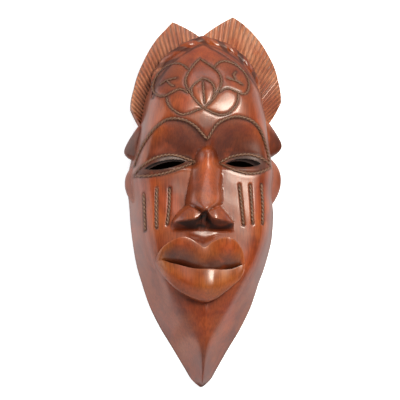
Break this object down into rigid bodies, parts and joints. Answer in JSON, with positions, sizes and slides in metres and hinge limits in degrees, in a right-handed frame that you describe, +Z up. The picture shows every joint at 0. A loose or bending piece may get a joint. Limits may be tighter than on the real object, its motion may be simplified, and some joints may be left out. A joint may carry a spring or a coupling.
{
  "type": "carved wooden mask",
  "caption": "Tall carved wooden wall mask with a fanned crest, slit eyes and a hollow back, hung by a hinged steel ring.",
  "frame": {"origin": "the point of the wall plane level with where the hanging nail bears inside the raised ring, on the mask's centre line", "axes": "+Z up along the face, from chin to crest; -Y the way the face looks, out from the wall; +X to the viewer's right"},
  "size_m": [0.2161, 0.1231, 0.5059],
  "materials": {
    "polished_wood": "stained red-brown, waxed and polished, dark in the carved grooves",
    "strap_steel": "bright zinc plate",
    "ring_steel": "nickel plate",
    "screw_steel": "yellowed zinc plate"
  },
  "bodies": {
    "mask": {"carved_mask": "polished_wood", "hanger_strap": "strap_steel", "hanger_screw_upper": "screw_steel", "hanger_screw_lower": "screw_steel"},
    "ring": {"hanger_ring": "ring_steel"}
  },
  "joints": [
    {"name": "ring_hinge", "type": "hinge", "parent": "mask", "child": "ring", "pos_m": [0, -0.00306, -0.01307], "axis": [-1, 0, 0], "range_deg": [0, 165]}
  ]
}
